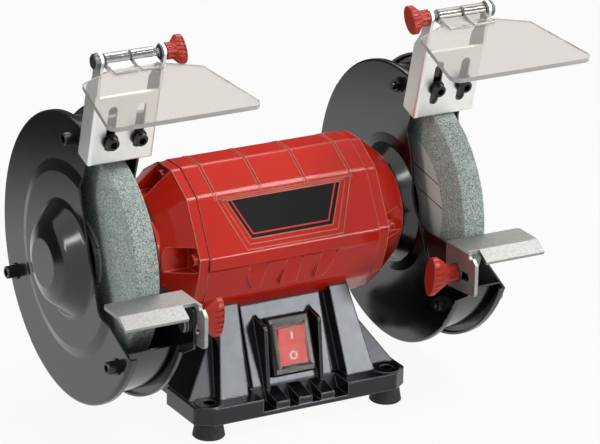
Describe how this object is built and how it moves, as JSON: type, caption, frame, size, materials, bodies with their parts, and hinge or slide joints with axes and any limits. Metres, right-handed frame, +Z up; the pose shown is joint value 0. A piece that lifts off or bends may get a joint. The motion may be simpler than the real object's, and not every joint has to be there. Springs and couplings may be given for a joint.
{
  "type": "bench grinder",
  "caption": "Red and black bench grinder on a pedestal base, with two guarded grinding wheels, clear eye shields, tool rests and a rocker switch.",
  "frame": {"origin": "centre of the four base bolt holes in the plane of the feet", "axes": "+X along the shaft towards the right wheel, -Y to the front with the switch, +Z up"},
  "size_m": [0.3418, 0.2204, 0.2678],
  "materials": {
    "base_paint": "textured",
    "plate_steel": "satin",
    "screw_steel": "satin",
    "rubber": "matte",
    "gland_plastic": "matte",
    "switch_plastic": "satin",
    "hood_clear": "clear",
    "rocker_red": "gloss",
    "red_enamel": "gloss",
    "name_plate": "satin",
    "painted_bolt": "gloss",
    "lamination": "matte",
    "copper": "gloss",
    "bearing_steel": "polished",
    "shaft_steel": "ground",
    "grit": "rough",
    "label_paper": "matte",
    "guard_paint": "semi-gloss",
    "black_oxide": "black oxide",
    "zinc_sheet": "zinc plated",
    "hinge_steel": "satin",
    "shield_clear": "clear",
    "knob_red": "satin"
  },
  "bodies": {
    "machine": {"base_casting": "base_paint", "base_plate": "plate_steel", "base_plate_screws": "screw_steel", "rubber_feet": "rubber", "cable_gland": "gland_plastic", "capacitor": "gland_plastic", "switch_body": "switch_plastic", "switch_hood": "hood_clear", "motor_housing": "red_enamel", "name_plate": "name_plate", "end_cap_right": "red_enamel", "end_cap_left": "red_enamel", "tie_bolts": "painted_bolt", "stator_core": "lamination", "stator_windings": "copper", "bearing_outer": "bearing_steel", "guard_body_right": "guard_paint", "guard_body_left": "guard_paint", "guard_cover_right": "guard_paint", "guard_cover_left": "guard_paint", "guard_spacers": "plate_steel", "cover_screws": "black_oxide", "cover_nuts": "black_oxide", "guard_mount_screws": "screw_steel", "spark_screws": "black_oxide", "rest_bolts": "hinge_steel"},
    "rotor": {"shaft": "shaft_steel", "rotor_core": "lamination", "bearing_inner": "bearing_steel", "wheel_left": "grit", "wheel_right": "grit", "wheel_labels": "label_paper", "wheel_flanges": "plate_steel", "wheel_nuts": "screw_steel"},
    "spark_left": {"bracket_left": "zinc_sheet", "hinge_bolt_left": "hinge_steel"},
    "spark_right": {"bracket_right": "zinc_sheet", "hinge_bolt_right": "hinge_steel"},
    "eye_left": {"shield_left": "shield_clear"},
    "eye_right": {"shield_right": "shield_clear"},
    "eye_knob_left": {"shield_knob_left": "knob_red"},
    "eye_knob_right": {"shield_knob_right": "knob_red"},
    "rest_left": {"tool_rest_left": "zinc_sheet"},
    "rest_right": {"tool_rest_right": "zinc_sheet"},
    "turner_left": {"rest_knob_left": "knob_red"},
    "turner_right": {"rest_knob_right": "knob_red"},
    "rocker": {"switch_rocker": "rocker_red"}
  },
  "joints": [
    {"name": "spindle_spin", "type": "hinge", "parent": "machine", "child": "rotor", "pos_m": [0, 0, 0.1133], "axis": [1, 0, 0], "continuous": true},
    {"name": "rocker_tip", "type": "hinge", "parent": "machine", "child": "rocker", "pos_m": [0, -0.04427, 0.04575], "axis": [-1, 0, 0], "range_deg": [0, 14]},
    {"name": "spark_slide_left", "type": "slide", "parent": "machine", "child": "spark_left", "axis": [0, -0.2334, 0.9724], "range_m": [-0.005, 0.0042]},
    {"name": "eye_tilt_left", "type": "hinge", "parent": "spark_left", "child": "eye_left", "pos_m": [-0.1195, -0.04657, 0.25925], "axis": [-1, 0, 0], "range_deg": [-10, 70]},
    {"name": "eye_knob_turn_left", "type": "hinge", "parent": "spark_left", "child": "eye_knob_left", "pos_m": [-0.09, -0.04657, 0.25925], "axis": [1, 0, 0], "range_deg": [-120, 120]},
    {"name": "rest_slide_left", "type": "slide", "parent": "machine", "child": "rest_left", "axis": [0, 1, 0], "range_m": [-0.006, 0.0015]},
    {"name": "rest_knob_turn_left", "type": "hinge", "parent": "machine", "child": "turner_left", "pos_m": [-0.09, -0.0905, 0.0957], "axis": [1, 0, 0], "range_deg": [-120, 120]},
    {"name": "spark_slide_right", "type": "slide", "parent": "machine", "child": "spark_right", "axis": [0, -0.2334, 0.9724], "range_m": [-0.0004, 0.009]},
    {"name": "eye_tilt_right", "type": "hinge", "parent": "spark_right", "child": "eye_right", "pos_m": [0.1195, -0.0454, 0.25438], "axis": [-1, 0, 0], "range_deg": [-10, 70]},
    {"name": "eye_knob_turn_right", "type": "hinge", "parent": "spark_right", "child": "eye_knob_right", "pos_m": [0.09, -0.0454, 0.25438], "axis": [-1, 0, 0], "range_deg": [-120, 120]},
    {"name": "rest_slide_right", "type": "slide", "parent": "machine", "child": "rest_right", "axis": [0, 1, 0], "range_m": [-0.006, 0.0015]},
    {"name": "rest_knob_turn_right", "type": "hinge", "parent": "machine", "child": "turner_right", "pos_m": [0.09, -0.0905, 0.0957], "axis": [-1, 0, 0], "range_deg": [-120, 120]}
  ]
}
